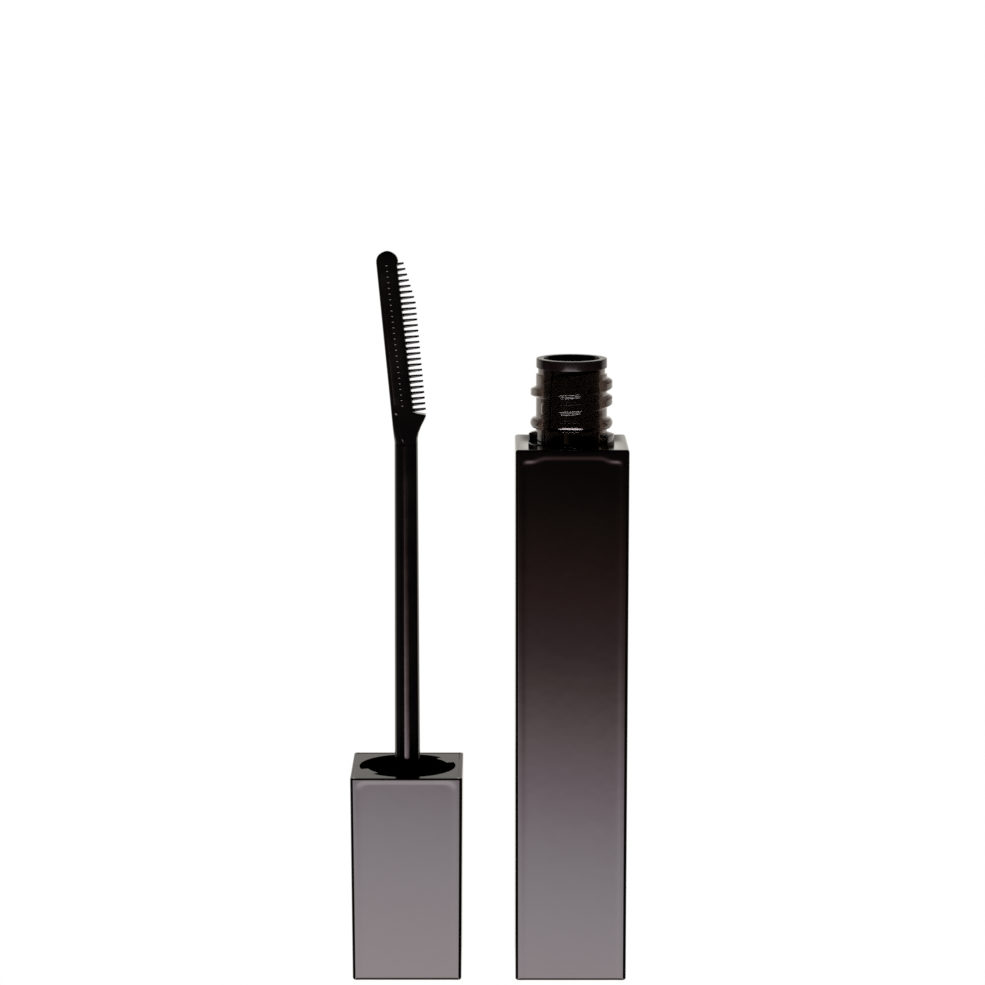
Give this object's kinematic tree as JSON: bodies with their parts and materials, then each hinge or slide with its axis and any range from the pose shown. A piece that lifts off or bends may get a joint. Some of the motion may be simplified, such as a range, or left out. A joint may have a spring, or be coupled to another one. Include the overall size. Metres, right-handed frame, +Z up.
{
  "type": "mascara tube",
  "caption": "Square mascara tube, open: a bottle with a threaded neck and wiper, and beside it the cap on its closed end with its rod and moulded comb.",
  "frame": {"origin": "middle of the bottle's flat base", "axes": "+Z up along the bottle's axis, towards its neck; +X away from the upturned cap, which stands at -X; the flat front faces -Y"},
  "size_m": [0.0469, 0.019, 0.1238],
  "materials": {
    "lacquered_shell": "black high-gloss lacquer on moulded plastic",
    "neck_plastic": "smoky dark moulded plastic, glossy",
    "black_gloss": "black moulded plastic, glossy",
    "wiper_rubber": "soft black elastomer, satin",
    "seal_foam": "pale soft sealing disc",
    "steel": "turned steel",
    "label_film": "plain silver-grey label film, no print"
  },
  "bodies": {
    "bottle": {"bottle_case": "lacquered_shell", "inner_vial": "neck_plastic", "wiper": "wiper_rubber", "base_plug": "black_gloss", "base_label": "label_film"},
    "turned": {"cap_end_plate": "lacquered_shell"},
    "pushed": {"cap_weight": "steel"},
    "advanced": {"wand_rod": "black_gloss"},
    "cap": {"cap_shell": "lacquered_shell", "cap_liner": "black_gloss", "seal_washer": "seal_foam", "comb_applicator": "black_gloss"}
  },
  "joints": [
    {"name": "wand_turn_over", "type": "hinge", "parent": "bottle", "child": "turned", "pos_m": [-0.01395, 0, 0.1175], "axis": [0, 1, 0], "range_deg": [0, 180]},
    {"name": "wand_insert", "type": "slide", "parent": "turned", "child": "pushed", "axis": [0, 0, 1], "range_m": [0, 0.10461]},
    {"name": "cap_advance", "type": "slide", "parent": "pushed", "child": "advanced", "axis": [0, 0, 1], "range_m": [0, 0.00344]},
    {"name": "cap_screw", "type": "hinge", "parent": "advanced", "child": "cap", "pos_m": [-0.0279, 0, 0.0354], "axis": [0, 0, 1], "range_deg": [0, 450]}
  ],
  "couplings": [
    {"joint": "cap_advance", "follows": "cap_screw", "m_per_rad": 0.00043768}
  ]
}
